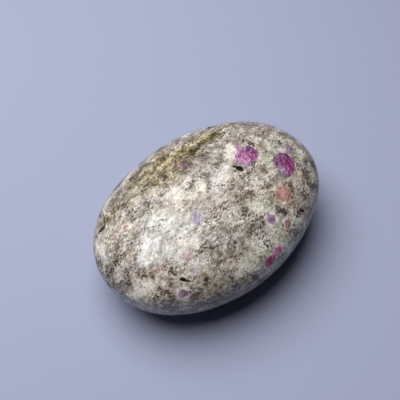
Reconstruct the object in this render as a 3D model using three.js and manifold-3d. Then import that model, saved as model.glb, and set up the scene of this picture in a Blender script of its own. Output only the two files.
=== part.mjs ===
// A polished palm stone of ruby in albite, lying on the small flat spot of its underside.
// Millimetres, +Z up. The long axis lies along X. The origin is on the rest face, under the middle
// of the stone. The rock is one solid: the rubies are cut flush with the polish, so they have no
// relief of their own, and only the cavities that were plucked out of the rock are hollow.

import * as THREE from 'three';
import { mergeVertices } from 'three/addons/utils/BufferGeometryUtils.js';
import Module from 'manifold-3d';

const wasm = await Module();
wasm.setup();

// Driving dimensions
const length = 60;
const width = 42.47;
const crownHeight = 11.0;      // from the widest line up to the top
const baseDepth = 13.2;        // from the widest line down to where the round underside would end
const restCut = 0.25;          // what the flat spot takes off the underside

// How the outline and the cross-section depart from an ellipse, whose power is 2
const planPower = 2.15;
const crownPower = 2.0;        // of the section above the widest line
const basePower = 2.6;         // and below it, where the flank is steeper and turns under tightly
const eggShare = 0.0071;       // makes the +X end narrower than the other
const squareShare = 0.0092;    // fills the shoulders of the outline

// Flats that the polishing wheel left, each facing a direction at a distance from the stone's heart.
// A higher softness gives a tighter ridge where a flat meets the round.
const wheelFlats = [
  { facing: [-0.12, 0.80, 0.59], distance: 18.69 },
];
const ridgeSoftness = 36;

// Open cavities, each near a point in the stone's frame: long and wide along the surface, and deep.
// The turn is from the X axis, in degrees, as seen from outside.
const cavities = [
  { name: 'pit under the north ruby', near: [7.5, -1.4, 23.6], long: 2.5, wide: 1.2, deep: 0.75, turn: -66 },
  { name: 'slit at the near end', near: [-19.0, -12.9, 18.6], long: 2.8, wide: 0.7, deep: 0.6, turn: -49 },
  { name: 'pit in the far flank', near: [6.8, 18.9, 9.6], long: 1.9, wide: 0.7, deep: 0.5, turn: -20 },
  { name: 'crease in the underside', near: [-7.8, -3.0, 0.3], long: 2.8, wide: 0.8, deep: 0.5, turn: 40 },
  { name: 'nick in the far end', near: [25.2, 3.6, 7.2], long: 1.5, wide: 0.5, deep: 0.35, turn: 60 },
];

const surfaceDetail = 17;      // splits of each icosahedron edge on the stone
const cavityDetail = 3;        // and on a cavity

const heart = new THREE.Vector3(0, 0, baseDepth - restCut);
const flats = wheelFlats.map(({ facing, distance }) => ({
  normal: new THREE.Vector3(...facing).normalize(),
  distance,
}));

// How many times too far out a point lies, measured from the heart: 1 is on the surface.
// The outline and the section are superellipses, and the flats join them by a soft maximum.
function reach(point) {
  const around = Math.atan2(point.y, point.x);
  const outline = 1 + eggShare * Math.cos(3 * around) + squareShare * Math.cos(4 * around);
  const alongX = Math.abs(point.x / (length / 2)) ** planPower;
  const alongY = Math.abs(point.y / (width / 2)) ** planPower;
  const sideways = (alongX + alongY) ** (1 / planPower) / outline;
  const upright = point.z > 0 ? point.z / crownHeight : -point.z / baseDepth;
  const power = point.z > 0 ? crownPower : basePower;
  const round = (sideways ** power + upright ** power) ** (1 / power);
  let sum = round ** ridgeSoftness;
  for (const flat of flats) {
    sum += Math.max(0, flat.normal.dot(point) / flat.distance) ** ridgeSoftness;
  }
  return sum ** (1 / ridgeSoftness);
}

// Moves a point straight out from the heart, or in, on to the polished surface.
function ontoSurface(point) {
  return point.divideScalar(reach(point));
}

// The outward direction at a surface point, from the slope of the reach.
function outwardAt(point) {
  const step = 0.01;
  const slope = (axis) => {
    const ahead = point.clone();
    const behind = point.clone();
    ahead[axis] += step;
    behind[axis] -= step;
    return reach(ahead) - reach(behind);
  };
  return new THREE.Vector3(slope('x'), slope('y'), slope('z')).normalize();
}

// A closed geometry with its shared corners merged, as the solid library needs it.
function toSolid(geometry) {
  geometry.deleteAttribute('normal');
  geometry.deleteAttribute('uv');
  const merged = mergeVertices(geometry, 1e-5);
  return new wasm.Manifold(new wasm.Mesh({
    numProp: 3,
    vertProperties: new Float32Array(merged.attributes.position.array),
    triVerts: new Uint32Array(merged.index.array),
  }));
}

function toGeometry(solid) {
  const mesh = solid.getMesh();
  const geometry = new THREE.BufferGeometry();
  geometry.setAttribute('position', new THREE.BufferAttribute(mesh.vertProperties, 3));
  geometry.setIndex(new THREE.BufferAttribute(mesh.triVerts, 1));
  geometry.computeVertexNormals();
  return geometry;
}

// The whole round stone, before its flat spot: an icosphere stretched to the three axes and then
// moved on to the surface, which puts more facets where the flanks turn tightly.
function roundStone() {
  const geometry = new THREE.IcosahedronGeometry(1, surfaceDetail);
  const position = geometry.attributes.position;
  const stretch = new THREE.Vector3(length / 2, width / 2, (crownHeight + baseDepth) / 2);
  const point = new THREE.Vector3();
  for (let i = 0; i < position.count; i += 1) {
    point.fromBufferAttribute(position, i).normalize().multiply(stretch);
    ontoSurface(point).add(heart);
    position.setXYZ(i, point.x, point.y, point.z);
  }
  return toSolid(geometry);
}

// Everything under the rest face, which grinds the flat spot.
function underRestFace() {
  const slab = new THREE.BoxGeometry(length, width, 2 * baseDepth);
  slab.translate(0, 0, -baseDepth);
  return toSolid(slab);
}

// A pod of the cavity's size with its middle on the surface, so that half of it sinks in.
function cavityPod({ near, long, wide, deep, turn }) {
  const place = ontoSurface(new THREE.Vector3(...near).sub(heart));
  const outward = outwardAt(place);
  const acrossX = new THREE.Vector3(1, 0, 0).projectOnPlane(outward).normalize();
  acrossX.applyAxisAngle(outward, THREE.MathUtils.degToRad(turn));
  const acrossY = new THREE.Vector3().crossVectors(outward, acrossX);
  const pod = new THREE.IcosahedronGeometry(1, cavityDetail);
  pod.scale(long / 2, wide / 2, deep);
  pod.applyMatrix4(new THREE.Matrix4().makeBasis(acrossX, acrossY, outward));
  pod.translate(...place.add(heart).toArray());
  return toSolid(pod);
}

function buildStone() {
  let solid = roundStone().subtract(underRestFace());
  for (const cavity of cavities) {
    solid = solid.subtract(cavityPod(cavity));
  }
  const geometry = toGeometry(solid);
  geometry.computeBoundingBox();
  const middle = geometry.boundingBox.getCenter(new THREE.Vector3());
  geometry.translate(-middle.x, -middle.y, 0);
  return geometry;
}

const polishedRock = new THREE.MeshStandardMaterial({
  name: 'polished_rock',
  color: 0xb0a79a,
  roughness: 0.32,
  metalness: 0,
});

const palmStone = new THREE.Mesh(buildStone(), polishedRock);
palmStone.name = 'palm_stone';

const part = new THREE.Group();
part.add(palmStone);

export default part;
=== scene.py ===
# Ruby in albite, a palm stone: pale speckled rock with magenta ruby crystals cut flush with the polish.
# The stone is one surface worked out with numpy. Marks such as rubies and zones are placed on it first,
# and one rock material reads them as attributes and breaks them up into grains and flecks.

import math

import bpy
import numpy as np
from mathutils import Matrix, Vector


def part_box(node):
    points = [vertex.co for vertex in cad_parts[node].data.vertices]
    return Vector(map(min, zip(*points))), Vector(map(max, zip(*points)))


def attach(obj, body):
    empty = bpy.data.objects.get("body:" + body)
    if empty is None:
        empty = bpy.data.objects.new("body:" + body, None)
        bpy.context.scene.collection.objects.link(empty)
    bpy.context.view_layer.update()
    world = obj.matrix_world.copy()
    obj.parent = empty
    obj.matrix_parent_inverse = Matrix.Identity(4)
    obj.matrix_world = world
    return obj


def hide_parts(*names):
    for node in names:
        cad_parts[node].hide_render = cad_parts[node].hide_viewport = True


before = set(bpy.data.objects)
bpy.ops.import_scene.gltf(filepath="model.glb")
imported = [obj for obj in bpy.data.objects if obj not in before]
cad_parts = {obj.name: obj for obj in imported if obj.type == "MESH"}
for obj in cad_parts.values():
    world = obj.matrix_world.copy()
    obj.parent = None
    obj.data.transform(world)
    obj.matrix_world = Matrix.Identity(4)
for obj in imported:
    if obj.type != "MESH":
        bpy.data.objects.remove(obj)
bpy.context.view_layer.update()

mm = 0.001          # metres; shapes are worked out in mm and put into the meshes in metres
print("frame loaded")


# Camera, fitted to the outline of the stone

view = {
    "elevation": 55.0,           # degrees above the floor
    "azimuth": -42.37,           # degrees; 0 looks along +Y
    "distance": 164.62,          # mm from the lens to the aim
    "aim": (0.39, 3.96, 12.0),   # mm, the point in the middle of the picture
    "focalPixels": 680.0,        # focal length in pixels of the picture
    "picturePixels": 400,
    "sensor": 36.0,              # mm
    "clipStart": 10,             # mm
}


def viewFrame():
    # the lens position, and the directions to the right, up and into the picture
    azimuth = math.radians(view["azimuth"])
    elevation = math.radians(view["elevation"])
    back = np.array([math.sin(azimuth) * math.cos(elevation),
                     -math.cos(azimuth) * math.cos(elevation),
                     math.sin(elevation)])
    right = np.cross(-back, [0.0, 0.0, 1.0])
    right = right / np.linalg.norm(right)
    up = np.cross(right, -back)
    lens = np.array(view["aim"]) + back * view["distance"]
    return lens, right, up, -back


def makeCamera():
    # focal length in mm = focal length in pixels * sensor / picture
    lens, right, up, ahead = viewFrame()
    data = bpy.data.cameras.new("camera")
    data.sensor_width = view["sensor"]
    data.lens = view["focalPixels"] * view["sensor"] / view["picturePixels"]
    data.clip_start = view["clipStart"] * mm
    camera = bpy.data.objects.new("camera", data)
    turn = Matrix(np.stack([right, up, -ahead], 1).tolist())
    camera.matrix_world = Matrix.Translation(Vector(lens * mm)) @ turn.to_4x4()
    bpy.context.scene.collection.objects.link(camera)
    bpy.context.scene.camera = camera


makeCamera()
print("camera placed")


# The stone's form, in mm: the same rule and values as the solid that it replaces

stone = {
    "length": 60.0,              # along X
    "width": 42.47,              # along Y
    "crownHeight": 11.0,         # from the widest line up
    "baseDepth": 13.2,           # from the widest line down
    "restCut": 0.25,             # what the flat spot takes off the underside
    "planPower": 2.15,           # 2 is an ellipse, more fills the corners
    "crownPower": 2.0,           # of the section above the widest line
    "basePower": 2.6,            # and below it
    "eggShare": 0.0071,          # makes the +X end narrower
    "squareShare": 0.0092,       # fills the shoulders of the outline
    "wheelFlats": [((-0.12, 0.80, 0.59), 18.69)],   # facing, and mm from the heart
    "ridgeSoftness": 36,         # more gives a tighter ridge round a flat
    "restSoftness": 0.05,        # mm over which the rim of the flat spot is rounded
    "cells": (180, 126, 74),     # grid cells along X, Y and Z, about 0.25 mm each
    "slopeStep": 0.01,           # mm between the points that a slope is taken from
}


def reach(points):
    # how many times too far out a point lies from the heart: a superellipse of (plan superellipse
    # over the outline's wobble, height over crown or base), then a soft maximum with the flats
    x, y, z = points[..., 0], points[..., 1], points[..., 2]
    around = np.arctan2(y, x)
    outline = 1 + stone["eggShare"] * np.cos(3 * around) + stone["squareShare"] * np.cos(4 * around)
    plan = np.abs(x / (stone["length"] / 2)) ** stone["planPower"]
    plan = plan + np.abs(y / (stone["width"] / 2)) ** stone["planPower"]
    sideways = plan ** (1 / stone["planPower"]) / outline
    upright = np.where(z > 0, z / stone["crownHeight"], -z / stone["baseDepth"])
    power = np.where(z > 0, stone["crownPower"], stone["basePower"])
    rounded = (sideways ** power + upright ** power) ** (1 / power)
    total = rounded ** stone["ridgeSoftness"]
    for facing, distance in stone["wheelFlats"]:
        facing = np.array(facing) / np.linalg.norm(facing)
        total = total + np.maximum(0, points @ facing / distance) ** stone["ridgeSoftness"]
    return total ** (1 / stone["ridgeSoftness"])


def ontoSurface(points):
    # pulls points straight out from the heart, or in, to where the reach is 1
    return points / reach(points)[..., None]


def outwardAt(points):
    # the slope of the reach, by differences along each axis
    steps = stone["slopeStep"] * np.eye(3)
    slope = np.stack([reach(points + step) - reach(points - step) for step in steps], -1)
    return slope / np.linalg.norm(slope, axis=-1, keepdims=True)


def restOnFlat(points):
    # a soft maximum of each height and the rest face's
    restLevel = stone["restCut"] - stone["baseDepth"]
    above = (points[..., 2] - restLevel) / stone["restSoftness"]
    level = restLevel + stone["restSoftness"] * np.logaddexp(0, above)
    return np.concatenate([points[..., :2], level[..., None]], -1)


def boxGrids():
    # six faces of a cube, each a grid of two parameters spread by tan, welded where they meet
    corners, quads, count = [], [], 0
    for axis in range(3):
        for side in (-1, 1):
            first, second = (axis + 1) % 3, (axis + 2) % 3
            a = np.tan(np.linspace(-1, 1, stone["cells"][first] + 1) * math.pi / 4)
            b = np.tan(np.linspace(-1, 1, stone["cells"][second] + 1) * math.pi / 4)
            face = np.empty((len(a), len(b), 3))
            face[..., axis] = side
            face[..., first] = a[:, None]
            face[..., second] = b[None, :]
            number = np.arange(face[..., 0].size).reshape(len(a), len(b)) + count
            ring = [number[:-1, :-1], number[1:, :-1], number[1:, 1:], number[:-1, 1:]]
            quads.append(np.stack(ring[::side], -1).reshape(-1, 4))
            corners.append(face.reshape(-1, 3))
            count += number.size
    corners = np.concatenate(corners)
    whole = np.rint(corners * 1e6).astype(int)
    kept, number = np.unique(whole, axis=0, return_index=True, return_inverse=True)[1:]
    return corners[kept], number.reshape(-1)[np.concatenate(quads)]


def stoneOffset(points):
    # from the heart's frame to the part's: middle and bottom of the box match those of the CAD solid
    low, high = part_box("palm_stone")
    low, high = np.array(low) / mm, np.array(high) / mm
    middle = (low + high) / 2 - (points.min(0) + points.max(0)) / 2
    return np.array([middle[0], middle[1], low[2] - points[:, 2].min()])


gridCorners, quads = boxGrids()
halfSizes = np.array([stone["length"], stone["width"], stone["crownHeight"] + stone["baseDepth"]]) / 2
gridPoints = gridCorners / np.linalg.norm(gridCorners, axis=1, keepdims=True) * halfSizes
surfacePoints = ontoSurface(gridPoints)
offset = stoneOffset(restOnFlat(surfacePoints))
print("form:", len(gridPoints), "points,", 2 * len(quads), "triangles")


# Places on the stone. A place of two numbers is a pixel of the picture, 400 wide, followed from the lens
# to the surface. One of three numbers is a point in mm from the heart, pulled on to the surface.

def castPixels(pixels):
    # the first point of each pixel's ray where the reach falls to 1: 400 steps, then 30 halvings
    lens, right, up, ahead = viewFrame()
    lens = lens - offset
    pixels = np.asarray(pixels, float)
    sideways = (pixels[:, :1] - view["picturePixels"] / 2) / view["focalPixels"]
    upwards = (view["picturePixels"] / 2 - pixels[:, 1:]) / view["focalPixels"]
    ray = ahead + sideways * right + upwards * up
    ray = ray / np.linalg.norm(ray, axis=1, keepdims=True)
    along = view["distance"] + np.linspace(-40, 40, 400)
    depths = reach(lens + along[None, :, None] * ray[:, None, :])
    inside = depths < 1
    hit = np.where(inside.any(1), inside.argmax(1), depths.argmin(1))
    near, far = along[np.maximum(hit - 1, 0)], along[hit]
    for _ in range(30):
        half = (near + far) / 2
        isIn = reach(lens + half[:, None] * ray) < 1
        near, far = np.where(isIn, near, half), np.where(isIn, half, far)
    return ontoSurface(lens + far[:, None] * ray)


def place(spot):
    # the point on the surface that a place names
    if len(spot) == 2:
        return castPixels([spot])[0]
    return ontoSurface(np.array(spot, float))


# Cavities that were plucked out of the polish: places along the middle line, width and depth in mm

pits = [
    {"line": [(238.6, 167.6), (241.4, 168.9)], "width": 1.5, "depth": 0.75},
    {"line": [(181.4, 279.4), (184.8, 280.6)], "width": 0.8, "depth": 0.6},
    {"line": [(234.4, 166.2), (238.4, 167.2)], "width": 0.75, "depth": 0.4},
    {"line": [(184.8, 280.6), (188.0, 281.2), (190.4, 281.6)], "width": 0.34, "depth": 0.3},
    {"line": [(300.8, 210.6), (303.0, 211.2)], "width": 0.6, "depth": 0.2},
    {"line": [(100.4, 231.0), (104.0, 227.0)], "width": 0.5, "depth": 0.2},
    {"line": [(190.2, 292.4), (190.8, 292.8)], "width": 0.4, "depth": 0.2},
    {"line": [(6.0, 19.0, -3.0), (7.6, 18.8, -3.6)], "width": 0.7, "depth": 0.5},
    {"line": [(-9.0, -4.0, -12.5), (-7.5, -3.0, -12.7), (-6.8, -2.0, -12.8)], "width": 0.8, "depth": 0.5},
    {"line": [(25.0, 3.0, -6.0), (25.4, 4.2, -5.6)], "width": 0.5, "depth": 0.35},
]
relief = {
    "waves": [(11.0, 0.045), (4.5, 0.012)],   # mm wide, mm deep, left by polishing by hand
    "gather": 3.6,               # mm round the first two pits, where the grid is finer
    "ragged": (0.45, 0.35),      # mm wide, and share of a pit's width that its wall wanders
    "wall": 1.7,                 # more gives a steeper wall and a wider floor
}


def latticeNoise(points, size, seed):
    # values from -1 to 1 drawn on a lattice of that size in mm, joined by smooth steps
    table = np.random.default_rng(seed).uniform(-1, 1, (32, 32, 32))
    cell = np.floor(points / size).astype(int)
    share = points / size - cell
    share = share * share * (3 - 2 * share)
    total = 0
    for corner in np.ndindex(2, 2, 2):
        weight = np.prod(np.where(np.array(corner) == 1, share, 1 - share), axis=-1)
        total = total + weight * table[tuple(((cell + corner) % 32).T)]
    return total


def smoothStep(share):
    # 3 t^2 - 2 t^3 of the share kept between 0 and 1
    share = np.clip(share, 0, 1)
    return share * share * (3 - 2 * share)


def lineDistance(points, start, end):
    # mm from each point to the nearest one on the line from start to end
    line = end - start
    share = np.clip((points - start) @ line / max(line @ line, 1e-9), 0, 1)
    return np.linalg.norm(points - start - share[:, None] * line, axis=1)


def gatherGrid(points, centre, radius):
    # within the radius, r becomes r (0.5 + 0.5 (r / radius)^2), which makes the cells half as wide
    away = points - centre
    share = np.clip(np.linalg.norm(away, axis=1, keepdims=True) / radius, 0, 1)
    return ontoSurface(centre + away * (0.5 + 0.5 * share ** 2))


def pitShare(points, pit):
    # 1 on the floor of the pit and 0 outside it, by the distance to its middle line, with a ragged wall
    places = [place(spot) for spot in pit["line"]]
    distance = np.min([lineDistance(points, a, b) for a, b in zip(places, places[1:])], axis=0)
    size, share = relief["ragged"]
    radius = pit["width"] / 2 * (1 + share * latticeNoise(points, size, 31))
    return smoothStep(relief["wall"] * (1 - distance / radius))


for pit in pits[:2]:
    surfacePoints = gatherGrid(surfacePoints, place(pit["line"][0]), relief["gather"])
sunk = sum(deep * (1 + latticeNoise(surfacePoints, size, 40)) for size, deep in relief["waves"])
pitted = np.zeros(len(surfacePoints))
for pit in pits:
    share = pitShare(surfacePoints, pit)
    sunk = np.maximum(sunk, pit["depth"] * share)
    pitted = np.maximum(pitted, share)
print("cavities sunk:", len(pits))


# Crystals: outlines by their corners, and the colours at a few places in each. The cover is how far the
# colour hides the rock; the halo is the tone, hue and width in mm of the altered rock round the crystal.

crystals = {
    "north": {
        "outline": [(236.2, 147), (240.5, 145.8), (244, 147.2), (248.6, 145.6), (252.6, 147.4),
                    (256.6, 150), (259.2, 154.4), (257.4, 158.2), (253.4, 161.2), (251.4, 164.4),
                    (249, 166.2), (245.2, 164.2), (240.6, 162.8), (236.2, 161.2), (235.2, 156),
                    (236.8, 151.6)],
        "tones": [((238, 151), "#c593b6"), ((242, 156), "#b972a4"), ((250, 150), "#7c4477"),
                  ((254, 155), "#953f7e"), ((246, 161), "#b97fae")],
        "cover": 1.0, "halo": (0.08, "#c9b4c4", 0.7),
    },
    "northWisp": {
        "outline": [(232.4, 142.4), (235.4, 142.6), (239.4, 145.2), (239.2, 149), (236.6, 148),
                    (234, 145)],
        "tones": [((236, 145), "#8a7080")],
        "cover": 0.6, "halo": (0, "#c9b4c4", 0.1),
    },
    "east": {
        "outline": [(272, 159.4), (276, 155.6), (279.6, 153.4), (285, 152.4), (288.6, 155.4), (292, 158),
                    (295, 161.6), (295.4, 167.8), (292.8, 173), (288.4, 176), (284.6, 175), (280, 170.4)],
        "tones": [((276, 159), "#885a80"), ((283, 161), "#762c6c"), ((288, 164), "#962c74"),
                  ((282, 170), "#b090b4"), ((290, 170), "#944c80")],
        "cover": 1.0, "halo": (-0.05, "#b3aab0", 0.5),
    },
    "eastTail": {
        "outline": [(284.6, 144), (287.6, 143), (291.8, 148), (292.4, 154), (286.6, 153)],
        "tones": [((287, 147), "#86687f"), ((291, 153), "#a484ac")],
        "cover": 0.88, "halo": (0, "#b3aab0", 0.1),
    },
    "lilac": {
        "outline": [(266.6, 216), (270.2, 213.4), (275.4, 215.6), (275.8, 221), (271.6, 224.2),
                    (268.4, 222)],
        "tones": [((268.6, 216), "#b08eb4"), ((271.6, 219), "#744072"), ((270, 222), "#9c7ca2")],
        "cover": 0.88, "halo": (0.2, "#cabccc", 1.1),
    },
    "maroon": {
        "outline": [(285.6, 219), (289.6, 217.8), (291.2, 222.6), (290.2, 228.4), (286.2, 227.6),
                    (284.8, 222.6)],
        "tones": [((287, 219.6), "#b08a9c"), ((288, 223), "#8a4c62"), ((289, 227), "#b0748c")],
        "cover": 0.92, "halo": (0.14, "#c3b7b2", 0.9),
    },
    "twinUpper": {
        "outline": [(276, 247.4), (280.6, 246), (282.6, 250.4), (280, 254), (276.4, 256.6), (273, 254.6)],
        "tones": [((280, 250), "#cd4c8d"), ((275, 253.6), "#e88cbc"), ((278, 247.4), "#cc86b2")],
        "cover": 1.0, "halo": (0.1, "#d0a8c0", 0.8),
    },
    "twinLower": {
        "outline": [(269.6, 255.8), (275.4, 256), (275, 259.6), (272, 264.6), (268.4, 267.4),
                    (264.6, 265.8), (266, 261.2)],
        "tones": [((273, 258), "#c41070"), ((270, 261.6), "#88084b"), ((266.6, 265.6), "#a03a74")],
        "cover": 1.0, "halo": (0.05, "#c49ab0", 0.8),
    },
    "nearEnd": {
        "outline": [(178.4, 292), (182.6, 289.4), (188.4, 291), (189, 294.4), (184.4, 298),
                    (179.6, 297.4)],
        "tones": [((183.6, 292.4), "#5e3448"), ((180.6, 296.6), "#84667a"), ((187.6, 293), "#84607a")],
        "cover": 0.84, "halo": (0.42, "#ccc3ca", 1.3),
    },
    "salmon": {
        "outline": [(277, 188), (281, 185.6), (288, 185), (292.4, 189), (293, 196), (290, 202),
                    (283, 201.6), (278.4, 199.6), (276, 194)],
        "tones": [((284.5, 193.5), "#eaa49c"), ((289, 193), "#bd8178"), ((280, 197), "#985c50")],
        "cover": 0.66, "halo": (-0.02, "#b5a598", 0.8),
    },
    "lavender": {
        "outline": [(191, 213.6), (195, 211), (200.6, 212), (203, 219), (201.6, 226), (195, 226),
                    (192, 221)],
        "tones": [((195.6, 213), "#786a78"), ((196, 221), "#a698bf"), ((201, 217), "#8a7c98")],
        "cover": 0.75, "halo": (0.02, "#cbc6d2", 0.6),
    },
    "dustyPink": {
        "outline": [(181.6, 255), (184.6, 252), (191, 254), (193, 259), (188, 262.6), (182.6, 260)],
        "tones": [((184, 254), "#d2b2b8"), ((187.6, 259), "#a4838a")],
        "cover": 0.75, "halo": (0.08, "#e0d2d6", 1.1),
    },
    "palePink": {
        "outline": [(190, 269), (195, 266.4), (200, 269), (199, 274), (192.6, 275.4)],
        "tones": [((196, 271), "#e6d0dc"), ((191.6, 270), "#927e92"), ((197, 268), "#b497ab")],
        "cover": 0.7, "halo": (0.12, "#d8ced4", 0.6),
    },
    "inIron": {
        "outline": [(175, 166), (179, 162.4), (184, 160), (189.4, 161), (191, 165), (186, 169.4),
                    (179, 169)],
        "tones": [((178, 166), "#9a726e"), ((184.6, 164), "#3f2e46"), ((188, 167), "#544854")],
        "cover": 0.75, "halo": (-0.02, "#a89684", 0.6),
    },
    "farRim": {
        "outline": [(110.6, 189), (115.6, 184), (120.4, 180.6), (121, 184), (117, 188.8), (113, 192)],
        "tones": [((116, 185.6), "#524262")],
        "cover": 0.9, "halo": (0.02, "#b3aab0", 0.5),
    },
    "rimRed": {
        "outline": [(175, 141.6), (178, 138), (181.6, 136.6), (181, 139.4), (178, 142.4)],
        "tones": [((178.6, 139.6), "#80646c")],
        "cover": 0.6, "halo": (0, "#b3aab0", 0.3),
    },
}

# Crystals on the sides that the picture doesn't show: a place in mm from the heart, mm across, two tones.
# Their cover and halo are all alike.
hiddenCrystals = [
    ((9.0, -9.0, -12.0), 5.0, "#a8488e", "#7c2c68"),
    ((-13.0, 7.0, -12.0), 3.2, "#8a4a80", "#a875a0"),
    ((16.0, 8.0, -10.5), 2.6, "#9a3a72", "#6a2050"),
    ((-6.0, 20.0, -4.0), 3.4, "#9c5090", "#c590b8"),
    ((13.0, 17.0, -6.0), 2.0, "#7c3060", "#8c5070"),
    ((28.0, 3.0, -5.0), 2.6, "#93477c", "#702a60"),
    ((-27.0, -5.0, -8.0), 2.8, "#8c6a94", "#b3a0c2"),
    ((-3.0, 3.0, -13.0), 2.2, "#b08a84", "#9c6a62"),
    ((-18.0, -9.0, -12.0), 1.8, "#8a2458", "#6a1c44"),
    ((22.0, -8.0, -9.0), 1.8, "#8c5a80", "#7c4470"),
    ((-20.0, 12.0, -6.0), 2.2, "#7a5a74", "#93748e"),
]
hiddenCover = 0.95
hiddenHalo = (0.06, "#c6b8c0", 0.8)

# Zones: how much paler (+) or darker (-) the grains are, how many more mica flecks, the hue, and strokes
# from place to place with a radius in mm and a strength. Later zones lie over earlier ones. The places
# and strengths are given one by one, as a painter lays in the larger marks; the grains come by themselves.

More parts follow.
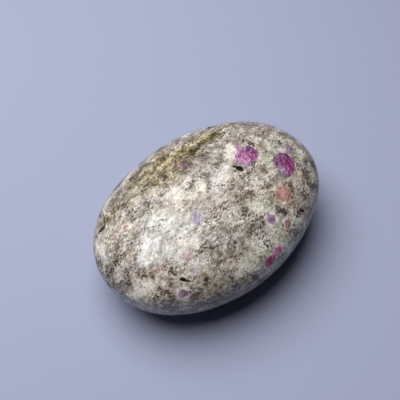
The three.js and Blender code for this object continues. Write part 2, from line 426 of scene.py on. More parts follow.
zones = {
    # partly the rock's own paler patches, partly painted light: the strong strokes along the near lower
    # flank lighten where the lamp leaves it dim
    "palerAndPaintedLight": {"tone": 0.1, "mica": -0.03, "hue": "#b0aca4", "strokes": [
        ((238, 220), (246, 226), 3.2, 1.0), ((130, 284), (172, 282), 3.0, 0.7),
        ((195, 270), (212, 268), 2.6, 0.6), ((246, 262), (262, 258), 2.0, 1.0),
        ((256, 195), (264, 198), 2.0, 0.8), ((243, 173), (252, 176), 1.8, 1.2),
        ((296, 160), (299, 168), 1.6, 1.4), ((226, 277), (247, 275), 2.4, 1.2),
        ((218, 282), (236, 276), 2.8, 1.0), ((239, 240), (248, 231), 2.0, 1.3),
        ((266, 251), (270, 244), 1.8, 1.3), ((221, 280), (230, 277), 2.0, 1.3),
        ((185, 200), (189, 199), 1.6, 1.4), ((122, 262), (126, 272), 1.8, 1.1),
        ((197, 286), (204, 291), 1.8, 0.9), ((243, 127), (260, 131), 2.0, 0.8),
        ((282, 205), (297, 196), 1.8, 1.4), ((150, 226), (158, 229), 1.8, 0.9),
        ((283, 252), (294, 240), 2.0, 1.1), ((171, 290), (196, 296), 2.2, 0.7),
        ((228, 262), (248, 268), 2.4, 0.5), ((243, 192), (262, 215), 2.4, 0.8),
        ((187, 137), (212, 132), 1.6, 0.8), ((106, 212), (112, 216), 1.8, 0.8),
        ((122, 284), (134, 292), 3.0, 0.7), ((146, 284), (162, 284), 3.4, 1.0),
        ((124, 278), (134, 280), 2.0, 1.2), ((178, 284), (200, 274), 3.6, 0.9),
        ((200, 274), (246, 270), 4.4, 1.7), ((246, 262), (272, 240), 4.4, 2.0),
        ((272, 236), (296, 218), 3.8, 1.5), ((222, 232), (232, 226), 3.0, 1.4),
        ((249, 234), (253, 226), 1.8, 1.0), ((116, 252), (124, 247), 2.4, 1.3),
        ((104, 250), (109, 240), 3.0, 1.6), ((204, 252), (206, 266), 2.8, 1.3),
        ((253, 189), (270, 196), 2.6, 1.3), ((293, 186), (297, 196), 2.4, 1.1),
        ((228, 170), (231, 180), 2.2, 1.0), ((262, 152), (268, 148), 2.4, 0.8),
        ((292, 150), (300, 158), 2.6, 1.2), ((280, 140), (288, 142), 2.2, 1.3),
        ((187, 183), (192, 181), 1.8, 0.4), ((158, 158), (162, 156), 1.8, 0.8),
        ((125, 180), (134, 172), 2.2, 0.5), ((150, 226), (160, 222), 2.4, 0.5),
        ((128, 216), (132, 214), 2.0, 0.8), ((160, 250), (163, 254), 2.4, 0.7),
        ((210, 226), (216, 240), 2.8, 0.5), ((120, 272), (134, 276), 3.0, 1.4),
    ]},
    # partly the rock's own darker patches, partly painted shade: the strong strokes across the upper
    # middle of the crown darken where the lamp's sheen is brightest
    "darkerAndPaintedShade": {"tone": -0.1, "mica": 0.03, "hue": "#aaa49e", "strokes": [
        ((147, 208), (156, 211), 3.0, 1.4), ((164, 164), (166, 192), 3.0, 0.8),
        ((224, 116), (230, 120), 2.6, 0.8), ((137, 272), (147, 278), 2.4, 1.3),
        ((167, 270), (174, 276), 1.8, 0.8), ((257, 226), (264, 232), 1.8, 0.8),
        ((172, 293), (176, 301), 1.4, 1.6), ((190, 300), (198, 294), 1.4, 1.6),
        ((192, 284), (198, 290), 1.4, 0.8), ((307, 150), (316, 172), 1.6, 1.5),
        ((250, 173), (261, 170), 1.6, 1.3), ((302, 144), (312, 162), 1.6, 1.0),
        ((130, 284), (134, 288), 1.4, 1.2), ((176, 208), (190, 210), 2.0, 0.9),
        ((202, 206), (218, 216), 2.6, 0.8), ((234, 168), (236, 176), 1.4, 1.0),
        ((184, 172), (198, 168), 1.6, 0.9), ((224, 188), (234, 196), 2.0, 1.2),
        ((184, 271), (186, 275), 1.2, 1.2), ((288, 213), (291, 217), 1.4, 1.2),
        ((228, 258), (238, 262), 1.8, 0.9), ((163, 242), (170, 250), 1.4, 0.9),
        ((152, 213), (184, 205), 3.6, 1.6), ((160, 192), (178, 185), 2.6, 1.2),
        ((196, 193), (216, 196), 3.6, 1.3), ((216, 200), (240, 196), 3.6, 1.1),
        ((126, 232), (134, 232), 2.4, 0.7), ((124, 258), (134, 254), 2.2, 1.0),
        ((164, 246), (169, 243), 2.2, 0.7), ((252, 143), (262, 145), 2.0, 1.3),
        ((255, 150), (259, 163), 2.0, 1.4), ((264, 158), (269, 162), 1.8, 0.9),
        ((305, 172), (313, 182), 2.4, 1.3), ((176, 160), (184, 156), 2.0, 0.9),
        ((166, 167), (172, 169), 1.8, 0.9), ((143, 166), (150, 162), 2.0, 0.8),
        ((229, 244), (236, 258), 2.2, 0.8), ((161, 271), (167, 273), 2.0, 0.7),
        ((270, 190), (275, 200), 2.0, 0.8), ((126, 205), (134, 203), 2.4, 0.7),
        ((220, 184), (226, 190), 2.2, 0.6), ((200, 222), (190, 210), 2.0, 0.4),
    ]},
    "iron": {"tone": -0.02, "mica": 0.1, "hue": "#aba48b", "strokes": [
        ((142, 186), (172, 160), 5.0, 1.0), ((168, 160), (192, 148), 3.6, 1.0),
        ((190, 150), (216, 133), 3.2, 1.0), ((150, 158), (176, 143), 2.2, 0.5),
        ((146, 176), (178, 152), 3.8, 0.8), ((152, 160), (172, 147), 2.4, 0.5),
        ((140, 194), (168, 176), 3.0, 0.6), ((152, 176), (167, 160), 3.4, 1.0),
        ((163, 161), (182, 150), 3.0, 0.8), ((150, 166), (160, 153), 2.4, 0.6),
        ((188, 145), (214, 132), 2.8, 0.8), ((138, 190), (152, 181), 2.8, 0.7),
        ((124, 206), (136, 197), 3.0, 0.5), ((111, 218), (119, 205), 2.6, 0.7),
        ((158, 181), (173, 176), 2.2, 0.9), ((196, 150), (206, 142), 2.4, 0.7),
        ((178, 150), (196, 148), 2.6, 0.9), ((130, 180), (139, 169), 2.0, 0.5),
        ((218, 131), (234, 126), 1.8, 0.7), ((201, 158), (202, 151), 1.6, 0.5),
        ((-22, 13, -3), (-4, 20, -5), 4.5, 0.9), ((-4, 20, -5), (16, 16, -8), 4.0, 0.7),
    ]},
    "ironPale": {"tone": 0.12, "mica": -0.1, "hue": "#c4bb9e", "strokes": [
        ((129, 191), (144, 184), 2.2, 0.9), ((162, 167), (166, 163), 1.6, 1.0),
        ((167, 158), (168, 157), 1.0, 0.8), ((154, 161), (157, 158), 1.0, 0.6),
        ((160, 182), (167, 181), 1.2, 0.8), ((170, 178), (172, 176), 1.0, 0.7),
        ((141, 185), (147, 182), 1.0, 0.7), ((202, 136), (206, 134), 1.2, 0.7),
        ((190, 143), (196, 141), 1.2, 0.5), ((185, 136), (190, 133), 1.3, 0.6),
        ((152, 170), (158, 168), 1.2, 0.5), ((-14, 17, -4), (-8, 19, -5), 1.8, 0.6),
    ]},
    "moss": {"tone": -0.28, "mica": 0.1, "hue": "#88836a", "strokes": [
        ((119, 203), (134, 183), 0.7, 0.5), ((134, 183), (148, 170), 0.7, 0.6),
        ((181, 151), (196, 150), 2.0, 0.9), ((192, 152), (194, 154), 1.3, 1.2),
        ((199, 144), (211, 137), 1.2, 0.8), ((211, 137), (219, 129.6), 1.0, 1.3),
        ((219, 129.6), (228, 126), 0.8, 0.7), ((178, 159), (180, 158), 1.0, 1.0),
        ((190, 160), (191, 165), 0.9, 0.8), ((163, 158), (165, 161), 0.9, 0.6),
        ((154, 167), (158, 163), 1.0, 0.6), ((164, 175), (167, 177), 1.5, 0.9),
        ((150, 182), (157, 186), 1.5, 0.8), ((140, 192), (142, 193), 1.2, 0.7),
        ((103, 224), (107, 220), 1.5, 0.7), ((133, 232), (134, 236), 1.2, 0.9),
        ((-11, 17, -6), (3, 19, -8), 1.4, 0.9),
    ]},
    "brown": {"tone": -0.19, "mica": 0, "hue": "#8f847c", "strokes": [
        ((173, 163), (175, 168), 1.4, 0.9), ((160, 177), (165, 176), 1.2, 0.5),
        ((170, 168), (175, 169), 0.9, 0.5), ((207, 289), (216, 292), 1.6, 0.8),
        ((205, 278), (208, 284), 1.3, 0.8), ((213, 286), (218, 288), 1.2, 0.8),
        ((246, 242), (249, 247), 1.4, 0.9), ((249, 241), (251, 236), 1.1, 0.8),
        ((252, 236), (260, 243), 2.0, 0.4), ((268, 186), (273, 183), 1.8, 0.5),
        ((222, 293), (228, 295), 1.4, 0.5), ((14, -5, -12), (18, -2, -11), 2.0, 0.8),
    ]},
    "blush": {"tone": 0.02, "mica": -0.1, "hue": "#c0aea8", "strokes": [
        ((121, 226), (127, 228), 1.3, 0.9), ((113, 236), (122, 229), 1.4, 0.7),
        ((149, 273), (161, 268), 2.6, 0.6), ((130, 293), (134, 291), 1.4, 0.7),
        ((253, 234), (260, 228), 2.4, 0.6), ((254, 128), (264, 132), 1.8, 0.5),
        ((298, 172), (303, 178), 1.6, 0.6), ((160, 284), (167, 288), 1.8, 0.6),
        ((212, 202), (216, 206), 1.8, 0.4), ((256, 160), (262, 158), 1.2, 0.3),
        ((124, 250), (128, 253), 1.2, 0.4), ((-12, -12, -11), (-8, -10, -12), 2.2, 0.5),
    ]},
    "green": {"tone": 0.16, "mica": -0.14, "hue": "#b0b8a8", "strokes": [
        ((268, 140), (274, 150), 1.8, 0.5), ((262, 150), (268, 163), 2.8, 0.8),
        ((250, 206), (268, 204), 3.4, 0.8), ((276, 221), (278, 230), 2.0, 0.8),
        ((290, 217), (295, 224), 2.0, 0.8), ((262, 244), (272, 238), 2.6, 0.8),
        ((254, 262), (266, 250), 3.2, 0.9), ((280, 263), (289, 254), 2.4, 0.7),
        ((180, 275), (187, 271), 2.2, 0.6), ((294, 246), (299, 238), 1.8, 0.5),
        ((135, 170), (140, 167), 1.0, 0.5), ((289, 143), (294, 141), 1.2, 0.4),
        ((288, 240), (280, 246), 2.4, 0.5), ((4, -13, -10), (15, -14, -8), 5.0, 0.8),
        ((24, 10, -3), (26, 6, -6), 4.0, 0.7),
    ]},
    # a warmer hue along the near lower rim: partly brown spots, partly painted reflected light, cancelling
    # the bluish light that the floor throws on to the rim
    "warmAndPaintedBounce": {"tone": 0, "mica": 0, "hue": "#b0a393", "strokes": [
        ((205, 300), (226, 294), 2.6, 0.9), ((226, 292), (248, 284), 2.6, 0.9),
    ]},
    "cream": {"tone": 0.29, "mica": -0.25, "hue": "#dedcd2", "strokes": [
        ((230, 147), (229, 163), 2.2, 0.9), ((228, 168), (230, 177), 3.0, 1.1),
        ((222, 172), (217, 180), 2.4, 1.0), ((216, 183), (212, 192), 2.4, 0.7),
        ((199, 183), (201, 193), 2.4, 0.9), ((172, 190), (181, 199), 3.2, 1.0),
        ((184, 197), (193, 193), 2.6, 0.8), ((184, 183), (184, 186), 1.6, 0.7),
        ((154, 189), (152, 197), 2.0, 0.7), ((149, 284), (153, 291), 2.6, 1.0),
        ((141, 293), (148, 285), 2.2, 0.8), ((131, 298), (150, 296), 2.0, 0.7),
        ((157, 281), (159, 285), 1.7, 0.7), ((256, 183), (257, 188), 1.8, 0.7),
        ((254, 202), (264, 205), 2.6, 0.4), ((104, 235), (111, 228), 2.2, 0.6),
        ((97, 252), (104, 245), 2.6, 0.6), ((246, 267), (237, 276), 2.2, 0.7),
        ((184, 242), (195, 240), 2.6, 0.8), ((201, 233), (202, 226), 2.0, 0.7),
        ((126, 222), (132, 228), 1.7, 0.5), ((203, 205), (212, 203), 2.0, 0.3),
        ((272, 136), (274, 132), 1.2, 0.6), ((250, 138), (259, 138), 1.5, 0.7),
        ((225, 134), (227, 134), 1.2, 0.6), ((302, 151), (301, 159), 1.8, 0.8),
        ((283, 142), (285, 145), 1.4, 0.5), ((262, 145), (266, 142), 1.6, 0.5),
        ((133, 200), (141, 202), 1.6, 0.5), ((104, 207), (112, 196), 0.8, 0.6),
        ((112, 196), (120, 187), 0.7, 0.7), ((120, 187), (128, 177), 0.7, 0.8),
        ((128, 177), (135, 168), 0.7, 0.6), ((184, 136), (191, 133), 1.0, 0.4),
        ((-18, -6, -12), (-8, 2, -13), 7.0, 0.8), ((10, 4, -13), (20, 0, -10), 6.0, 0.7),
        ((0, 20, -4), (10, 19, -6), 4.0, 0.7),
    ]},
    "grey": {"tone": 0, "mica": 0.02, "hue": "#a7a8aa", "strokes": [
        ((120, 202), (148, 183), 3.0, 0.5), ((104, 262), (128, 276), 5.0, 1.0),
        ((212, 238), (262, 234), 5.0, 0.6), ((224, 170), (214, 190), 2.8, 0.8),
        ((136, 214), (172, 232), 4.0, 0.5), ((286, 200), (280, 214), 2.4, 0.6),
    ]},
    # partly the rock's white feldspar, partly a painted sheen: the cool bluish white where the lamp's soft
    # reflection lies across the crown
    "whiteAndPaintedSheen": {"tone": 0.26, "mica": -0.25, "hue": "#dbe0e4", "strokes": [
        ((154, 224), (160, 228), 2.0, 0.2), ((146, 244), (153, 239), 3.2, 0.9),
        ((142, 252), (146, 263), 2.8, 0.9), ((155, 251), (164, 245), 3.6, 0.8),
        ((167, 223), (173, 219), 2.6, 0.8), ((161, 214), (150, 225), 2.8, 0.6),
        ((184, 228), (180, 234), 2.4, 1.0), ((164, 236), (177, 227), 4.2, 0.5),
        ((171, 252), (179, 243), 2.4, 0.5), ((205, 254), (206, 263), 2.4, 0.7),
        ((190, 263), (200, 262), 2.4, 0.5), ((183, 250), (180, 256), 2.4, 0.4),
        ((186, 216), (180, 222), 2.4, 0.5), ((0, -2, -13), (6, 2, -13), 3.0, 0.6),
        ((-24, 0, -8), (-20, -6, -10), 4.0, 0.6),
    ]},
    "clear": {"tone": 0.03, "mica": -0.6, "hue": "#dbe0e4", "strokes": [
        ((150, 219), (160, 228), 2.4, 0.5), ((227, 168), (223, 178), 1.8, 0.5),
    ]},
    "mica": {"tone": -0.14, "mica": 0.35, "hue": "#948b84", "strokes": [
        ((128, 283), (133, 290), 1.3, 0.4), ((140, 275), (148, 275), 1.2, 0.9),
        ((148, 298), (160, 302), 1.4, 0.9), ((277, 187), (284, 184), 0.9, 1.2),
        ((290, 186), (293, 192), 0.9, 1.3), ((292, 197), (288, 203), 0.9, 1.0),
        ((275, 192), (278, 200), 0.9, 1.0), ((238, 198), (251, 193), 1.3, 0.9),
        ((246, 209), (244, 214), 1.1, 0.7), ((208, 181), (208, 197), 1.2, 0.7),
        ((235, 176), (233, 187), 1.1, 0.5), ((126, 272), (129, 277), 1.2, 1.0),
        ((111, 271), (117, 262), 1.3, 1.0), ((103, 280), (114, 285), 1.8, 0.6),
        ((98, 262), (105, 268), 1.8, 0.5), ((131, 253), (136, 257), 1.4, 0.6),
        ((121, 244), (115, 249), 1.0, 0.5), ((107, 277), (110, 275), 1.1, 0.6),
        ((170, 271), (174, 274), 1.2, 1.0), ((153, 279), (154, 281), 0.9, 1.0),
        ((146, 268), (148, 269), 0.8, 0.6), ((163, 289), (166, 295), 1.9, 0.8),
        ((150, 297), (157, 298), 1.4, 0.7), ((134, 303), (137, 302), 1.1, 0.9),
        ((157, 301), (159, 302), 0.9, 0.7), ((205, 278), (208, 283), 1.3, 0.7),
        ((216, 286), (219, 288), 1.1, 0.6), ((233, 289), (241, 286), 2.0, 0.8),
        ((245, 281), (251, 277), 1.3, 0.8), ((255, 277), (261, 280), 1.3, 0.8),
        ((195, 297), (201, 292), 1.3, 0.9), ((199, 252), (206, 252), 1.3, 0.8),
        ((209, 247), (214, 250), 1.4, 0.9), ((212, 264), (220, 262), 1.6, 0.6),
        ((233, 257), (236, 259), 1.3, 0.9), ((229, 262), (232, 263), 1.1, 0.5),
        ((299, 214), (298, 215), 1.1, 1.1), ((302, 210), (303, 212), 1.1, 1.3),
        ((306, 208), (309, 206), 1.2, 1.2), ((278, 214), (283, 211), 1.3, 1.1),
        ((302, 184), (305, 182), 1.1, 0.9), ((305, 194), (309, 197), 1.5, 0.8),
        ((301, 193), (303, 194), 1.1, 0.6), ((306, 171), (309, 182), 1.6, 1.1),
        ((309, 160), (315, 166), 1.1, 1.0), ((309, 184), (315, 186), 1.5, 0.8),
        ((288, 237), (297, 231), 1.3, 0.9), ((262, 170), (265, 173), 1.2, 0.6),
        ((271, 177), (275, 176), 1.1, 0.6), ((270, 195), (274, 199), 1.4, 0.6),
        ((295, 205), (297, 207), 1.2, 0.5), ((296, 184), (299, 187), 1.3, 0.5),
        ((267, 237), (269, 242), 1.5, 0.5), ((256, 258), (259, 259), 1.3, 0.4),
        ((206, 128.6), (213, 126), 1.0, 0.9), ((230, 124), (246, 124), 1.0, 0.7),
        ((274, 139), (277, 141), 1.2, 0.5), ((288, 136), (293, 139), 1.0, 0.6),
        ((245, 141), (250, 143), 1.2, 0.7), ((253, 144), (262, 147), 1.2, 0.7),
        ((249, 164), (253, 161.6), 0.9, 1.3), ((157, 154), (161, 151), 1.1, 0.7),
        ((145, 166), (149, 164), 1.2, 0.9), ((137, 173), (133, 178), 1.5, 0.7),
        ((126, 186), (129, 188), 1.3, 0.7), ((118, 196), (113, 206), 1.5, 0.6),
        ((110, 211), (111, 213), 1.0, 0.8), ((144, 203), (146, 205), 1.1, 0.6),
        ((124, 203), (128, 207), 1.1, 0.5), ((135, 211), (139, 208), 0.9, 0.7),
        ((127, 212), (129, 214), 1.0, 0.6), ((145, 213), (137, 218), 1.0, 0.6),
        ((147, 220), (142, 226), 1.2, 0.4), ((100.6, 231), (104.4, 226.6), 0.9, 1.6),
        ((193, 177), (198, 178), 1.6, 0.5), ((195, 200), (199, 203), 1.2, 0.6),
        ((177, 186), (180, 184), 1.0, 0.5), ((190, 236), (190, 238), 0.6, 1.4),
        ((170, 246), (178, 231), 1.0, 0.4), ((275, 232), (273, 236), 1.0, 0.5),
        ((-22, 4, -9), (-12, 12, -10), 5.0, 0.4), ((0, 4, -13), (8, 10, -12), 5.0, 0.4),
        ((18, -8, -9), (24, -2, -8), 4.0, 0.5),
    ]},
    # painted shade: darker strokes along the near lower rim, where the underside turns away from the lamp
    # and faces the floor's shadow
    "paintedRimShade": {"tone": -0.16, "mica": -0.1, "hue": "#a3a29c", "strokes": [
        ((236, 289), (252, 283), 1.8, 1.0), ((204, 303), (224, 299), 1.8, 1.0),
        ((94, 258), (104, 282), 1.6, 0.9), ((104, 282), (132, 308), 1.8, 0.9),
        ((228, 290), (242, 284), 1.6, 0.8), ((200, 305), (250, 287), 3.0, 0.8),
        ((250, 287), (285, 262), 2.6, 0.6), ((130, 308), (200, 306), 2.6, 0.6),
        ((308, 222), (318, 190), 2.0, 0.7),
    ]},
}


def toLinear(code):
    # sRGB hex to linear values
    values = np.array([int(code[i:i + 2], 16) / 255 for i in (1, 3, 5)])
    return np.where(values <= 0.04045, values / 12.92, ((values + 0.055) / 1.055) ** 2.4)


def opaque(code):
    # sRGB hex to a linear colour with alpha 1, as sockets take it
    return (*toLinear(code), 1.0)


def hueOf(code):
    # a colour brought to luminance 1, so that it only tints
    colour = toLinear(code)
    return colour / (colour @ [0.2126, 0.7152, 0.0722])


rock = {
    "hue": "#aeacab",            # of the plain speckled rock
    "base": 0.61,                # its tone, from 0 for black to 1 for white
    "tones": [(0.0, "#262321"), (0.25, "#5b5651"), (0.5, "#96918a"), (0.75, "#cac6bf"), (1.0, "#f4f2ed")],
    "stain": (1.6, 0.75),        # how strongly the hue tints dark grains and pale ones
    "clouds": [(11.0, 1.0, 0.5, 0.15), (3.4, 4.0, 0.85, 1.45)],   # mm, octaves, falloff, share of the tone
    "grains": [(1.4, 0.14), (0.72, 0.2), (0.4, 0.3)],   # mm wide, share of the tone
    "lively": (0.8, 1.06),       # how much of the clouds and grains shows without mica and with it
    "bend": (0.8, 0.6),          # mm over which the grain edges are bent, and mm that they are
    "stretch": (1.5, 1.1, 1.0),  # of grains and flecks: along the foliation, down its dip, across it
    "foliation": (40, 0, 14),    # degrees, the dip about X and then the turn about Z
    "fleck": 0.36,               # mm; real flecks are 0.1 to 0.4, drawn wider so that they show
    "fleckEdge": (0.43, 0.38),   # noise at which a fleck begins and is full
    "fleckCrowds": (2.2, 0.5),   # mm wide, share of the noise
    "fleckZones": 0.3,           # share of the noise that a zone's mica adds
    "fleckColour": "#2b2824",
    "seams": 2.6,                # mm between fine seams
    "seamPlaces": 3.0,           # mm across the places that have seams
    "seamTone": -0.2,
    # near black: partly dust, partly painted shade in the cavities
    "cavityShadeAndDust": "#100f0d",           # on the walls of the cavities
    "roughness": 0.3,
    "fleckRoughness": 0.5,
    "dustRoughness": 0.6,        # what dust adds
    "sunk": 0.02,                # mm that flecks and seams lie under the polish
    "refraction": 1.53,          # index of refraction of albite
}
gem = {
    "fray": (1.5, 0.5),          # mm that noise from 0 to 1 moves an edge: of faint crystals, of full ones
    "frayGrain": 0.5,            # mm wide
    "cleavage": (0.6, 0.2, 0.9),   # radians about X, Y and Z
    "stretch": (2.2, 0.8, 0.8),  # of glints and bands, along the cleavage and across it
    "glint": 0.55,               # mm
    "gleam": (0.55, (0.45, 0.4, 0.45, 1.0)),   # share and linear colour of the light inside a glint
    "band": "#3a1a34",           # of the dark growth bands
    "flecks": (0.93, -0.38),     # how dark flecks are on the rock, and what a crystal takes off
    "parting": "#35272f",        # of the thin line round a crystal
    "partingWidth": (0.16, 0.04),   # mm from the edge at which the line begins and is full
    "openings": 1.1,             # mm between the places where the parting shows
}
marks = {
    "bends": (1.9, 0.75),        # mm wide, of the two noises that make edges ragged
    "zoneRagged": (0.22, 0.2),   # share of a stroke's radius that each of them moves its edge
    "crystalRagged": 0.12,       # mm that the finer one moves a crystal's edge
    "haloHue": 0.7,              # share of a halo's hue
    "haloMica": 0.2,             # what a halo takes off the mica
    "brightest": 0.32,           # the most that zones and haloes add to the tone
}


farOutside = -9.0                # mm, the distance into a crystal where there is none


def levelAlong(outward):
    # the direction along the surface that is level but for a slight tilt: outward cross nearly upright
    across = np.cross(outward, [0.0, 0.3, 1.0])
    return across / np.linalg.norm(across)


def ringOutline(centre, width, seed):
    # seven uneven corners round a place on the surface
    random = np.random.default_rng(seed)
    outward = outwardAt(centre)
    across = levelAlong(outward)
    upwards = np.cross(outward, across)
    turn = (np.arange(7) + random.uniform(-0.3, 0.3, 7)) * 2 * math.pi / 7
    radius = width / 2 * random.uniform(0.75, 1.2, 7)
    return centre + (radius * np.cos(turn))[:, None] * across + (radius * np.sin(turn))[:, None] * upwards


def outlineDistance(points, corners):
    # mm inside a flat outline, or outside if negative, seen along the surface's own direction:
    # the distance to the nearest edge, signed by how often a line to the right crosses the outline.
    # Points over 4 mm off its plane are on another side of the stone.
    centre = corners.mean(0)
    outward = outwardAt(centre)
    across = levelAlong(outward)
    upwards = np.cross(across, outward)
    flat = np.stack([(points - centre) @ across, (points - centre) @ upwards], -1)
    ring = np.stack([(corners - centre) @ across, (corners - centre) @ upwards], -1)
    nearest = np.full(len(points), 1e9)
    crossings = np.zeros(len(points), int)
    for start, end in zip(ring, np.roll(ring, -1, 0)):
        nearest = np.minimum(nearest, lineDistance(flat, start, end))
        rising = (start[1] > flat[:, 1]) != (end[1] > flat[:, 1])
        rise = end[1] - start[1]
        meets = start[0] + (flat[:, 1] - start[1]) * (end[0] - start[0]) / (rise if rise else 1e-9)
        crossings += rising & (flat[:, 0] < meets)
    distance = np.where(crossings % 2 == 1, nearest, -nearest)
    height = np.abs((points - centre) @ outward)
    return np.where(height < 4, distance, farOutside)


def allCrystals():
    # every crystal as its corners, the places and colours of its tones, its cover and its halo
    shapes = []
    for crystal in crystals.values():
        corners = np.array([place(spot) for spot in crystal["outline"]])
        spots = np.array([place(spot) for spot, code in crystal["tones"]])
        codes = np.stack([toLinear(code) for spot, code in crystal["tones"]])
        shapes.append((corners, spots, codes, crystal["cover"], crystal["halo"]))
    for seed, (spot, width, code, otherCode) in enumerate(hiddenCrystals):
        centre = place(spot)
        corners = ringOutline(centre, width, seed)
        codes = np.stack([toLinear(code), toLinear(otherCode)])
        shapes.append((corners, np.stack([centre, corners[0]]), codes, hiddenCover, hiddenHalo))
    return shapes


def paintMarks(points):
    # every mark as one value per point. Zones: the strongest stroke of each, with ragged edges, gives its
    # tone, mica and hue. Crystals: the distance into the nearest one, and a mean of its colours weighed by
    # 1 / distance cubed; round it the halo falls off by a smooth step.
    sizes = marks["bends"]
    bends = [np.stack([latticeNoise(points, size, seed) for seed in (1, 2, 3)], 1) for size in sizes]
    wander = marks["zoneRagged"][0] * bends[0] + marks["zoneRagged"][1] * bends[1]
    values = {"tone": np.zeros(len(points)), "mica": np.zeros(len(points))}
    hue = np.zeros((len(points), 3)) + hueOf(rock["hue"])
    for zone in zones.values():
        strength = np.zeros(len(points))
        for start, end, radius, most in zone["strokes"]:
            distance = lineDistance(points + radius * wander, place(start), place(end))
            weight = smoothStep(1 - distance / radius)
            strength = np.maximum(strength, most * weight)
        values["tone"] += zone["tone"] * strength
        values["mica"] += zone["mica"] * strength
        cover = np.clip(strength, 0, 1)[:, None]
        hue = hue * (1 - cover) + hueOf(zone["hue"]) * cover
    inside = np.full(len(points), farOutside)
    colour = np.zeros((len(points), 4))
    for corners, spots, codes, cover, (haloTone, haloHue, haloWidth) in allCrystals():
        distance = outlineDistance(points + marks["crystalRagged"] * bends[1], corners)
        halo = smoothStep(1 + distance / haloWidth)
        values["tone"] += haloTone * halo
        values["mica"] -= marks["haloMica"] * halo
        tinted = marks["haloHue"] * halo[:, None]
        hue = hue * (1 - tinted) + hueOf(haloHue) * tinted
        weights = 1 / (np.linalg.norm(points[:, None] - spots, axis=2) + 0.25) ** 3
        mean = weights @ codes / weights.sum(1, keepdims=True)
        closer = distance > inside
        inside = np.where(closer, distance, inside)
        covered = np.concatenate([mean, np.full((len(points), 1), cover)], 1)
        colour = np.where(closer[:, None], covered, colour)
    values["tone"] = np.minimum(values["tone"], marks["brightest"])
    values["crystal"] = np.clip(inside, -3, 3)
    values["pit"] = pitted
    return values, {"hue": np.concatenate([hue, np.ones((len(points), 1))], 1), "crystalColour": colour}


values, colours = paintMarks(surfacePoints)
print("marks painted:", ", ".join([*values, *colours]))


def addNode(tree, kind, inputs=None, output=0, **settings):
    # adds a node and gives the output asked for; an input given as a socket is linked, any other is set
    node = tree.nodes.new(kind)
    for name, value in settings.items():
        setattr(node, name, value)
    for key, value in (inputs or {}).items():
        if isinstance(value, bpy.types.NodeSocket):
            tree.links.new(value, node.inputs[key])
        else:
            node.inputs[key].default_value = value
    return node.outputs[output] if len(node.outputs) else None


def fillRamp(ramp, stops):
    # sets a colour ramp to (place, hex) stops
    while len(ramp.elements) < len(stops):
        ramp.elements.new(1.0)
    for element, (position, code) in zip(ramp.elements, stops):
        element.position = position
        element.color = opaque(code)


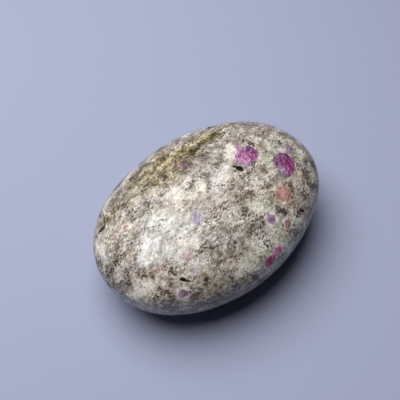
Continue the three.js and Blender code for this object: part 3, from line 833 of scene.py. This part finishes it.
def polishedAlbite():
    # albite rock sawn, ground and tumbled to a soft gloss: pale interlocked grains, dark mica flecks that
    # crowd in wisps along the foliation and take less polish, rubies flush with the rest
    material = bpy.data.materials.new("polishedAlbiteRock")
    material.use_nodes = True
    tree = material.node_tree
    tree.nodes.clear()
    spot = addNode(tree, "ShaderNodeTexCoord", output="Object")
    inMm = addNode(tree, "ShaderNodeVectorMath", {0: spot, "Scale": 1 / mm}, operation="SCALE")
    turn = tuple(math.radians(angle) for angle in rock["foliation"])
    laid = addNode(tree, "ShaderNodeMapping", {"Vector": inMm, "Rotation": turn, "Scale": rock["stretch"]},
                   vector_type="TEXTURE")
    size, bentBy = rock["bend"]
    bend = addNode(tree, "ShaderNodeTexNoise", {"Vector": laid, "Scale": 1 / size, "Detail": 2.0}, "Color")
    bent = addNode(tree, "ShaderNodeVectorMath", {0: bend, 1: (bentBy, bentBy, bentBy), 2: laid},
                   operation="MULTIPLY_ADD")

    # the tone: the zones, then clouds of grains, then single grains
    tone = addNode(tree, "ShaderNodeAttribute", None, "Fac", attribute_name="tone")
    tone = addNode(tree, "ShaderNodeMath", {0: tone, 1: rock["base"]}, operation="ADD")
    mica = addNode(tree, "ShaderNodeAttribute", None, "Fac", attribute_name="mica")
    calm, full = rock["lively"]
    lively = addNode(tree, "ShaderNodeMapRange",
                     {"Value": mica, "From Min": -0.3, "From Max": 0.1, "To Min": calm, "To Max": full})
    for size, octaves, falloff, share in rock["clouds"]:
        cloud = addNode(tree, "ShaderNodeTexNoise",
                        {"Vector": laid, "Scale": 1 / size, "Detail": octaves, "Roughness": falloff})
        cloud = addNode(tree, "ShaderNodeMath", {0: cloud, 1: 0.5}, operation="SUBTRACT")
        cloud = addNode(tree, "ShaderNodeMath", {0: cloud, 1: lively}, operation="MULTIPLY")
        tone = addNode(tree, "ShaderNodeMath", {0: cloud, 1: share, 2: tone}, operation="MULTIPLY_ADD")
    for size, share in rock["grains"]:
        cell = addNode(tree, "ShaderNodeTexVoronoi", {"Vector": bent, "Scale": 1 / size}, "Color")
        cell = addNode(tree, "ShaderNodeSeparateColor", {0: cell})
        cell = addNode(tree, "ShaderNodeMath", {0: cell, 1: 0.5}, operation="SUBTRACT")
        cell = addNode(tree, "ShaderNodeMath", {0: cell, 1: lively}, operation="MULTIPLY")
        tone = addNode(tree, "ShaderNodeMath", {0: cell, 1: share, 2: tone}, operation="MULTIPLY_ADD")

    # fine seams between groups of grains, in some places only
    seam = addNode(tree, "ShaderNodeTexVoronoi", {"Vector": bent, "Scale": 1 / rock["seams"]},
                   feature="DISTANCE_TO_EDGE")
    seam = addNode(tree, "ShaderNodeMapRange", {"Value": seam, "From Min": 0.05, "From Max": 0.0},
                   interpolation_type="SMOOTHSTEP")
    some = addNode(tree, "ShaderNodeTexNoise",
                   {"Vector": inMm, "Scale": 1 / rock["seamPlaces"], "Detail": 1.0})
    some = addNode(tree, "ShaderNodeMapRange", {"Value": some, "From Min": 0.48, "From Max": 0.62})
    seam = addNode(tree, "ShaderNodeMath", {0: seam, 1: some}, operation="MULTIPLY")
    tone = addNode(tree, "ShaderNodeMath", {0: seam, 1: rock["seamTone"], 2: tone},
                   operation="MULTIPLY_ADD")

    shade = addNode(tree, "ShaderNodeValToRGB", {0: tone})
    fillRamp(shade.node.color_ramp, rock["tones"])
    hue = addNode(tree, "ShaderNodeAttribute", None, "Color", attribute_name="hue")
    onDark, onPale = rock["stain"]
    stain = addNode(tree, "ShaderNodeMapRange",
                    {"Value": tone, "From Min": 0.25, "From Max": 0.85,
                     "To Min": onDark, "To Max": onPale})
    colour = addNode(tree, "ShaderNodeMix", {0: stain, 6: shade, 7: hue}, 2, data_type="RGBA",
                     blend_type="MULTIPLY", clamp_factor=False)

    # mica flecks, thicker where the crowds and the mica zones are
    size, share = rock["fleckCrowds"]
    crowd = addNode(tree, "ShaderNodeTexNoise", {"Vector": laid, "Scale": 1 / size, "Detail": 3.0})
    crowd = addNode(tree, "ShaderNodeMath", {0: crowd, 1: 0.5}, operation="SUBTRACT")
    mica = addNode(tree, "ShaderNodeMath", {0: mica, 1: rock["fleckZones"]}, operation="MULTIPLY")
    crowd = addNode(tree, "ShaderNodeMath", {0: crowd, 1: share, 2: mica}, operation="MULTIPLY_ADD")
    fleck = addNode(tree, "ShaderNodeTexNoise",
                    {"Vector": laid, "Scale": 1 / rock["fleck"], "Detail": 2.0, "Roughness": 0.6})
    fleck = addNode(tree, "ShaderNodeMath", {0: fleck, 1: crowd}, operation="SUBTRACT")
    rim, middle = rock["fleckEdge"]
    fleck = addNode(tree, "ShaderNodeMapRange", {"Value": fleck, "From Min": rim, "From Max": middle},
                    interpolation_type="SMOOTHSTEP")

    # where crystals are: inside their outlines, with edges that fray more on faint ones
    depth = addNode(tree, "ShaderNodeAttribute", None, "Fac", attribute_name="crystal")
    ragged = addNode(tree, "ShaderNodeTexNoise",
                     {"Vector": inMm, "Scale": 1 / gem["frayGrain"], "Detail": 3.0, "Roughness": 0.6})
    ragged = addNode(tree, "ShaderNodeMath", {0: ragged, 1: 0.5}, operation="SUBTRACT")
    cover = addNode(tree, "ShaderNodeAttribute", None, "Alpha", attribute_name="crystalColour")
    faint, full = gem["fray"]
    fray = addNode(tree, "ShaderNodeMapRange",
                   {"Value": cover, "From Min": 0.8, "From Max": 1.0, "To Min": faint, "To Max": full})
    depth = addNode(tree, "ShaderNodeMath", {0: ragged, 1: fray, 2: depth}, operation="MULTIPLY_ADD")
    crystal = addNode(tree, "ShaderNodeMapRange", {"Value": depth, "From Min": -0.08, "From Max": 0.14},
                      interpolation_type="SMOOTHSTEP")
    crystal = addNode(tree, "ShaderNodeMath", {0: crystal, 1: cover}, operation="MULTIPLY")

    # the colour of each crystal, with painted glints (pale patches that stand in for light caught on
    # cleavage planes), darker growth bands and fainter flecks
    tint = addNode(tree, "ShaderNodeAttribute", None, "Color", attribute_name="crystalColour")
    cleft = addNode(tree, "ShaderNodeMapping",
                    {"Vector": inMm, "Rotation": gem["cleavage"], "Scale": gem["stretch"]},
                    vector_type="TEXTURE")
    glint = addNode(tree, "ShaderNodeTexNoise",
                    {"Vector": cleft, "Scale": 1 / gem["glint"], "Detail": 3.0, "Roughness": 0.75})
    # painted glints: pale patches that stand in for light caught on cleavage planes
    pale = addNode(tree, "ShaderNodeMapRange", {"Value": glint, "From Min": 0.54, "From Max": 0.6})
    growth = addNode(tree, "ShaderNodeMapRange",
                     {"Value": glint, "From Min": 0.46, "From Max": 0.4, "To Max": 0.85})
    share, light = gem["gleam"]
    gleam = addNode(tree, "ShaderNodeMix", {0: share, 6: tint, 7: light}, 2, data_type="RGBA")
    tint = addNode(tree, "ShaderNodeMix", {0: pale, 6: tint, 7: gleam}, 2, data_type="RGBA",
                   blend_type="SCREEN")
    band = opaque(gem["band"])
    tint = addNode(tree, "ShaderNodeMix", {0: growth, 6: tint, 7: band}, 2, data_type="RGBA")
    colour = addNode(tree, "ShaderNodeMix", {0: crystal, 6: colour, 7: tint}, 2, data_type="RGBA")
    onRock, less = gem["flecks"]
    thin = addNode(tree, "ShaderNodeMath", {0: crystal, 1: less, 2: onRock}, operation="MULTIPLY_ADD")
    dark = addNode(tree, "ShaderNodeMath", {0: fleck, 1: thin}, operation="MULTIPLY")
    black = opaque(rock["fleckColour"])
    colour = addNode(tree, "ShaderNodeMix", {0: dark, 6: colour, 7: black}, 2, data_type="RGBA")

    # a thin dark parting round each full crystal, which opens and closes along its edge
    parting = addNode(tree, "ShaderNodeMath", {0: depth}, operation="ABSOLUTE")
    rim, middle = gem["partingWidth"]
    parting = addNode(tree, "ShaderNodeMapRange", {"Value": parting, "From Min": rim, "From Max": middle},
                      interpolation_type="SMOOTHSTEP")
    opening = addNode(tree, "ShaderNodeTexNoise",
                      {"Vector": inMm, "Scale": 1 / gem["openings"], "Detail": 1.0})
    opening = addNode(tree, "ShaderNodeMapRange",
                      {"Value": opening, "From Min": 0.46, "From Max": 0.6, "To Max": 0.8})
    parting = addNode(tree, "ShaderNodeMath", {0: parting, 1: opening}, operation="MULTIPLY")
    whole = addNode(tree, "ShaderNodeMapRange", {"Value": cover, "From Min": 0.8, "From Max": 1.0})
    parting = addNode(tree, "ShaderNodeMath", {0: parting, 1: whole}, operation="MULTIPLY")
    edge = opaque(gem["parting"])
    colour = addNode(tree, "ShaderNodeMix", {0: parting, 6: colour, 7: edge}, 2, data_type="RGBA")

    # the walls of the cavities are made near black: partly dust, partly painted shade where little light
    # reaches into them
    pit = addNode(tree, "ShaderNodeAttribute", None, "Fac", attribute_name="pit")
    pit = addNode(tree, "ShaderNodeMapRange", {"Value": pit, "From Min": 0.04, "From Max": 0.3})
    cavityShadeAndDust = opaque(rock["cavityShadeAndDust"])
    colour = addNode(tree, "ShaderNodeMix", {0: pit, 6: colour, 7: cavityShadeAndDust}, 2, data_type="RGBA")

    gloss = addNode(tree, "ShaderNodeMapRange",
                    {"Value": fleck, "To Min": rock["roughness"], "To Max": rock["fleckRoughness"]})
    gloss = addNode(tree, "ShaderNodeMath", {0: pit, 1: rock["dustRoughness"], 2: gloss},
                    operation="MULTIPLY_ADD")
    height = addNode(tree, "ShaderNodeMath", {0: fleck, 1: seam}, operation="ADD")
    bump = addNode(tree, "ShaderNodeBump",
                   {"Height": height, "Strength": 0.5, "Distance": -rock["sunk"] * mm})
    shader = addNode(tree, "ShaderNodeBsdfPrincipled",
                     {"Base Color": colour, "Roughness": gloss, "Normal": bump, "IOR": rock["refraction"]})
    addNode(tree, "ShaderNodeOutputMaterial", {"Surface": shader})
    return material


def makeStone():
    # the polished points sunk along their outward direction, with the flat spot cut last
    points = restOnFlat(surfacePoints - outwardAt(surfacePoints) * sunk[:, None]) + offset
    mesh = bpy.data.meshes.new("polished_stone")
    mesh.from_pydata((points * mm).tolist(), [], quads.tolist())
    mesh.shade_smooth()
    for name, value in values.items():
        layer = mesh.attributes.new(name, "FLOAT", "POINT")
        layer.data.foreach_set("value", value.astype(np.float32))
    for name, value in colours.items():
        layer = mesh.attributes.new(name, "FLOAT_COLOR", "POINT")
        layer.data.foreach_set("color", value.astype(np.float32).ravel())
    mesh.materials.append(polishedAlbite())
    piece = bpy.data.objects.new("polished_stone", mesh)
    bpy.context.scene.collection.objects.link(piece)
    return piece


polishedStone = makeStone()
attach(polishedStone, "root")
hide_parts("palm_stone")
print("stone made")


# Floor and light

room = {
    "floorColour": "#a9b1cc",
    "floorRoughness": 0.95,
    "floorShine": 0.1,
    "floorWidth": 3000,          # mm
    "windowFacing": (-0.08, 0.33, 0.94),   # from the stone towards the window
    "windowDistance": 360,       # mm
    "windowSize": 380,           # mm
    "windowPower": 1.72,         # W
    "windowColour": "#fffcfb",
    "skyColour": "#c9d2ee",
    "skyStrength": 0.004,
}


def makeFloor():
    # one matte square at height 0
    half = room["floorWidth"] / 2 * mm
    corners = [(-half, -half, 0), (half, -half, 0), (half, half, 0), (-half, half, 0)]
    mesh = bpy.data.meshes.new("floor")
    mesh.from_pydata(corners, [], [(0, 1, 2, 3)])
    material = bpy.data.materials.new("matteFloor")
    material.use_nodes = True
    shader = material.node_tree.nodes["Principled BSDF"]
    shader.inputs["Base Color"].default_value = opaque(room["floorColour"])
    shader.inputs["Roughness"].default_value = room["floorRoughness"]
    shader.inputs["Specular IOR Level"].default_value = room["floorShine"]
    mesh.materials.append(material)
    floor = bpy.data.objects.new("floor", mesh)
    bpy.context.scene.collection.objects.link(floor)


def makeLights():
    # a round window high up on the far side, and a faint even sky
    data = bpy.data.lights.new("window", "AREA")
    data.shape = "DISK"
    data.size = room["windowSize"] * mm
    data.energy = room["windowPower"]
    data.color = toLinear(room["windowColour"])
    lamp = bpy.data.objects.new("window", data)
    facing = Vector(room["windowFacing"]).normalized()
    lamp.location = facing * room["windowDistance"] * mm
    lamp.rotation_euler = facing.to_track_quat("Z", "Y").to_euler()
    bpy.context.scene.collection.objects.link(lamp)
    world = bpy.data.worlds.new("sky")
    world.use_nodes = True
    background = world.node_tree.nodes["Background"]
    background.inputs["Color"].default_value = opaque(room["skyColour"])
    background.inputs["Strength"].default_value = room["skyStrength"]
    bpy.context.scene.world = world


makeFloor()
makeLights()
bpy.context.scene.view_settings.view_transform = "Standard"
print("floor and lights placed")
